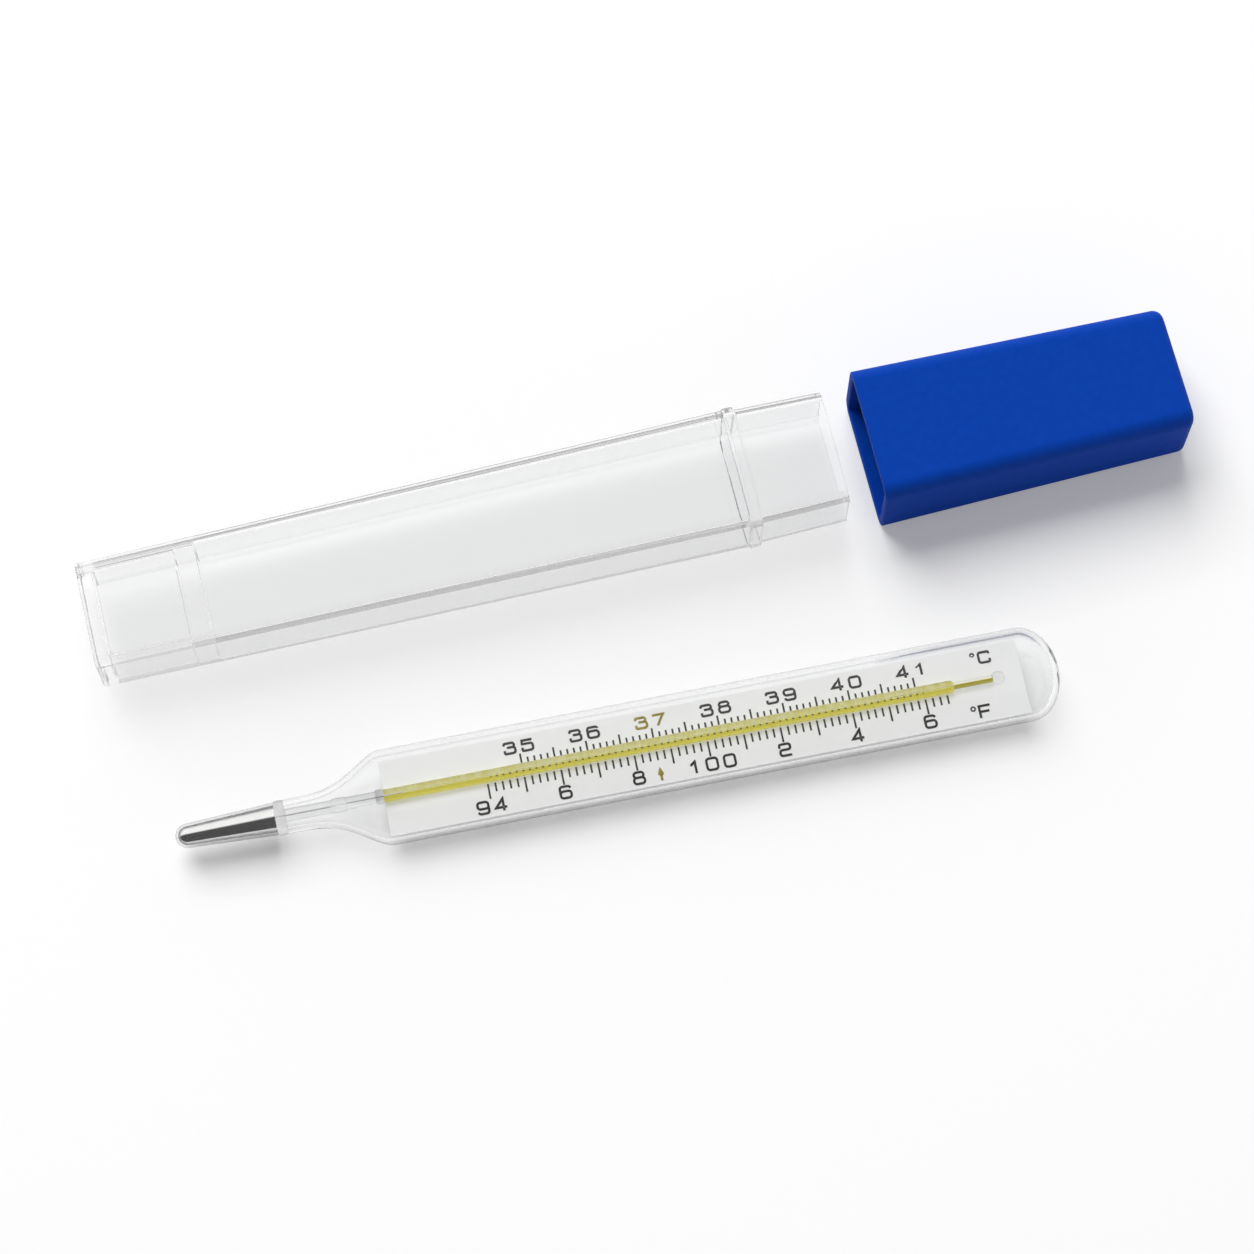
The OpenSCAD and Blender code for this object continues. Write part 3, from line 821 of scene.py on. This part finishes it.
def tick_mask(nodes, links, along, across):
    """The lines of the scale, as a row of ticks beside the middle of the gold strip."""
    first = (scale_start - thermometer_length / 2) * MM
    pitch = line_pitch * MM
    step = calc(nodes, links, "DIVIDE", calc(nodes, links, "SUBTRACT", along, first), pitch)
    away = calc(nodes, links, "PINGPONG", step, 0.5)
    on_line = calc(nodes, links, "LESS_THAN", away, tick_half_share)
    in_row = calc(nodes, links, "COMPARE", across, tick_middle * MM, tick_reach * MM)
    started = calc(nodes, links, "GREATER_THAN", along, first - ticks_before_start * pitch)
    unended = calc(nodes, links, "LESS_THAN", along, first + ticks_after_start * pitch)
    return calc(nodes, links, "MULTIPLY", calc(nodes, links, "MULTIPLY", on_line, in_row),
                calc(nodes, links, "MULTIPLY", started, unended))


def gold_material():
    """Gold enamel of one colour with painted light: painted pale and mottled towards the Celsius lines,
    where the light from behind falls through the capillary, and painted deep on the other side.

    The lines of the scale show in it as a row of dark ticks.
    """
    material, nodes, links, surface, output = new_material("gold enamel")
    grain = add_waver(nodes, size=1500.0, strength=0.1, depth=0.01)
    mask = grain.outputs["Mask"]
    surface.inputs["Specular IOR Level"].default_value = 0.15
    place = nodes.new("ShaderNodeTexCoord")
    split = nodes.new("ShaderNodeSeparateXYZ")
    links.new(place.outputs["Object"], split.inputs["Vector"])
    along, across = split.outputs["X"], split.outputs["Y"]
    # Painted light: the strip's half towards the back is painted pale and the other half deep, standing
    # in for the lamp behind and the capillary's lens
    side = level(nodes, links, across, 0.0, 1.0, start=painted_light_start * MM, end=painted_light_end * MM)
    mottle = level(nodes, links, mask, 0.0, 1.0, start=0.42, end=0.58)
    deep = blended(nodes, links, mask, low=(0.66, 0.60, 0.02), high=(0.74, 0.68, 0.05))
    pale = blended(nodes, links, mottle, low=(0.92, 0.87, 0.26), high=(0.99, 0.97, 0.52))
    dark = blended(nodes, links, mask, low=(0.06, 0.06, 0.07), high=(0.16, 0.15, 0.1))
    ground = blended(nodes, links, side, deep, pale)
    ticks = tick_mask(nodes, links, along, across)
    links.new(blended(nodes, links, ticks, ground, dark), surface.inputs["Base Color"])
    links.new(level(nodes, links, mask, 0.3, 0.5), surface.inputs["Roughness"])
    lighten_shadow(nodes, links, surface, output, share=0.7)
    return material


clear_glass = clear_material(
    "clear glass", tint=(0.995, 0.998, 0.998), evenness=0.985, index=glass_index, shadow=0.92,
    painted_edge_shade=0.3, edge_power=4.0, size=90.0, strength=0.1, depth=0.02)
bulb_skin = clear_material(
    "bulb glass", tint=(0.99, 0.993, 0.993), evenness=0.98, index=glass_index, shadow=0.92,
    painted_edge_shade=0.22, edge_power=1.7, size=90.0, strength=0.1, depth=0.02)
capillary_glass = clear_material(
    "capillary glass", tint=(1, 1, 1), evenness=0.99, index=glass_index, shadow=0.995,
    painted_edge_shade=0.9, edge_power=5.0, size=90.0, strength=0.1, depth=0.02)
stem_glass = clear_material(
    "stem glass", tint=(0.98, 0.985, 0.985), evenness=0.93, index=glass_index, shadow=0.95,
    painted_edge_shade=0.3, edge_power=2.2, size=500.0, strength=0.4, depth=0.1)
melted_glass = clear_material(
    "melted glass", tint=(0.97, 0.975, 0.975), evenness=0.45, index=glass_index, shadow=0.9,
    painted_edge_shade=0.3, edge_power=3.0, size=900.0, strength=0.5, depth=0.1)
clear_styrene = clear_material(
    "clear styrene", tint=(0.99, 0.993, 0.993), evenness=0.985, index=styrene_index, shadow=0.92,
    painted_edge_shade=0.66, edge_power=4.5, size=60.0, strength=0.15, depth=0.03)
mercury = mercury_material()
milk = grained_material(
    "milk glass", low=(0.90, 0.905, 0.90), high=(0.95, 0.955, 0.95), rough=(0.3, 0.4),
    size=150.0, strength=0.1, depth=0.01, gloss=0.3, thin=0.45)
ink = grained_material(
    "black ink", low=(0.010, 0.009, 0.009), high=(0.026, 0.024, 0.023), rough=(0.5, 0.7),
    size=3000.0, strength=0.3, depth=0.01, gloss=0.2)
gold_ink = grained_material(
    "gold ink", low=(0.02, 0.018, 0.01), high=(0.56, 0.46, 0.03), rough=(0.5, 0.7),
    size=3000.0, strength=0.3, depth=0.01, gloss=0.1)
blue = grained_material(
    "blue plastic", low=(0.002, 0.044, 0.37), high=(0.003, 0.058, 0.43), rough=(0.5, 0.65),
    size=900.0, strength=0.12, depth=0.02, gloss=0.08)
gold = gold_material()


# Pieces

dress(glass_body(), clear_glass, "thermometer", "clear_glass", "glass_envelope")
dress(melted_ring(), melted_glass, "thermometer", "clear_glass", "neck_seal")
dress(bulb(), bulb_skin, "thermometer", "clear_glass", "bulb_glass")
dress(bulb_filling(), mercury, "thermometer", "mercury", "bulb_mercury")
dress(stem_mercury(), mercury, "thermometer", "mercury")
dress(stem(), stem_glass, "thermometer", "clear_glass", "inner_stem")
dress(bead(), melted_glass, "thermometer", "clear_glass", "stem_bead")
dress(capillary(), capillary_glass, "thermometer", "clear_glass", "capillary_tube")
dress(tail(), capillary_glass, "thermometer", "clear_glass", "capillary_tail")
dress(plate(), milk, "thermometer", "milk_plate", "scale_plate")
dress(gold_strip(), gold, "thermometer", "gold_enamel", "gold_stripe")
dress(head(), mercury, "mercury_column", "mercury", "mercury_head")
dress(case(), clear_styrene, "case", "clear_plastic", "case_tube")
dress(cap(), blue, "cap", "blue_plastic", "cap_shell")

column = thread()
finish(column, mercury, "mercury", "mercury_thread")
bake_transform(column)

printed = {
    "celsius_graduations": ink, "fahrenheit_graduations": ink, "celsius_numbers": ink,
    "fahrenheit_numbers": ink, "unit_signs": ink, "normal_number": gold_ink,
    "normal_mark": gold_ink}
for node_name, material in printed.items():
    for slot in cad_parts[node_name].material_slots:
        slot.material = material


# Table, light and camera

def through_glass(nodes, links, ray):
    """Rays that came through glass, and a share of those last turned round inside it."""
    inside = at_least(nodes, links, ray.outputs["Transmission Depth"], 1)
    turned_round = calc(nodes, links, "MULTIPLY", ray.outputs["Is Glossy Ray"], inside)
    dimmed = calc(nodes, links, "MULTIPLY", turned_round, turned_round_share)
    return calc(nodes, links, "MAXIMUM", ray.outputs["Is Transmission Ray"], dimmed)


def table_top():
    """The pale table, which glows a little for the camera and through glass."""
    bare_selection()
    bpy.ops.mesh.primitive_plane_add(size=table_size, location=(0, 0, -table_drop * MM))
    floor = bpy.context.object
    floor.name = "table"
    material, nodes, links, surface, _ = new_material("pale table")
    surface.inputs["Base Color"].default_value = (0.8, 0.8, 0.8, 1)
    surface.inputs["Roughness"].default_value = 0.9
    surface.inputs["Specular IOR Level"].default_value = 0.1
    surface.inputs["Emission Color"].default_value = (1, 1, 1, 1)
    ray = nodes.new("ShaderNodeLightPath")
    seen = calc(nodes, links, "MAXIMUM", ray.outputs["Is Camera Ray"],
                through_glass(nodes, links, ray))
    links.new(calc(nodes, links, "MULTIPLY", seen, table_glow), surface.inputs["Emission Strength"])
    floor.data.materials.append(material)


def mirror_light(nodes, links, ray, toward_back):
    """What shiny pieces mirror, a dark front and a bright back, and the mask of the mercury.

    Mercury, seen in through the bulb's glass and out again, mirrors all of it, and all else
    a share.
    """
    through_bulb = calc(nodes, links, "COMPARE", ray.outputs["Transmission Depth"],
                        bulb_surfaces, 0.5)
    on_mercury = calc(nodes, links, "MULTIPLY", through_bulb,
                      at_least(nodes, links, ray.outputs["Glossy Depth"], 1))
    back = level(nodes, links, toward_back, front_mirror_light, back_mirror_light,
                 start=back_start, end=back_full)
    share = level(nodes, links, on_mercury, clear_mirror_share, 1.0)
    return calc(nodes, links, "MULTIPLY", back, share), on_mercury


def room():
    """Pale walls under a dim ceiling; the camera sees white, also through clear pieces."""
    world = bpy.data.worlds.new("room")
    bpy.context.scene.world = world
    world.use_nodes = True
    nodes, links = world.node_tree.nodes, world.node_tree.links
    white = nodes["Background"]
    white.inputs["Color"].default_value = (1, 1, 1, 1)
    white.inputs["Strength"].default_value = 1
    place = nodes.new("ShaderNodeTexCoord")
    split = nodes.new("ShaderNodeSeparateXYZ")
    links.new(place.outputs["Generated"], split.inputs["Vector"])
    walls = level(nodes, links, split.outputs["Z"], wall_light, ceiling_light,
                  start=wall_top, end=ceiling_start)
    ray = nodes.new("ShaderNodeLightPath")
    mirror, on_mercury = mirror_light(nodes, links, ray, split.outputs["Y"])
    through = through_glass(nodes, links, ray)
    direct = calc(nodes, links, "SUBTRACT", 1,
                  at_least(nodes, links, ray.outputs["Diffuse Depth"], 1))
    mirrored = calc(nodes, links, "MULTIPLY", direct,
                    calc(nodes, links, "MAXIMUM", ray.outputs["Is Glossy Ray"], through))
    clear = calc(nodes, links, "MULTIPLY", calc(nodes, links, "MULTIPLY", direct, through),
                 calc(nodes, links, "SUBTRACT", 1, on_mercury))
    strength = nodes.new("ShaderNodeMix")
    links.new(mirrored, strength.inputs["Factor"])
    links.new(walls, strength.inputs["A"])
    links.new(mirror, strength.inputs["B"])
    around = nodes.new("ShaderNodeBackground")
    around.inputs["Color"].default_value = (1, 1, 1, 1)
    links.new(strength.outputs["Result"], around.inputs["Strength"])
    mix = nodes.new("ShaderNodeMixShader")
    links.new(calc(nodes, links, "MAXIMUM", ray.outputs["Is Camera Ray"], clear),
              mix.inputs["Fac"])
    links.new(around.outputs["Background"], mix.inputs[1])
    links.new(white.outputs["Background"], mix.inputs[2])
    links.new(mix.outputs["Shader"], nodes["World Output"].inputs["Surface"])


def lamp(name, place, target, size, power):
    """A soft lamp that gives light and shadow but no mirror image of itself."""
    data = bpy.data.lights.new(name, "AREA")
    data.shape = "SQUARE"
    data.size = size
    data.energy = power
    light = bpy.data.objects.new(name, data)
    bpy.context.scene.collection.objects.link(light)
    light.location = place
    light.visible_glossy = False
    light.visible_transmission = False
    light.rotation_euler = (Vector(target) - Vector(place)).to_track_quat("-Z", "Y").to_euler()


def camera():
    """The camera of the photograph."""
    data = bpy.data.cameras.new("camera")
    data.lens = camera_lens
    data.sensor_width = camera_sensor
    view = bpy.data.objects.new("camera", data)
    bpy.context.scene.collection.objects.link(view)
    view.location = camera_place
    aim = Vector(camera_direction).to_track_quat("-Z", "Y")
    roll = Quaternion((0, 0, 1), math.radians(camera_roll))
    view.rotation_euler = (aim @ roll).to_euler()
    bpy.context.scene.camera = view


table_top()
room()
lamp("window", place=(-0.40, 1.85, 2.3), target=(0.01, 0.02, 0), size=2.2, power=97.0)
camera()
bpy.context.scene.view_settings.view_transform = "Standard"
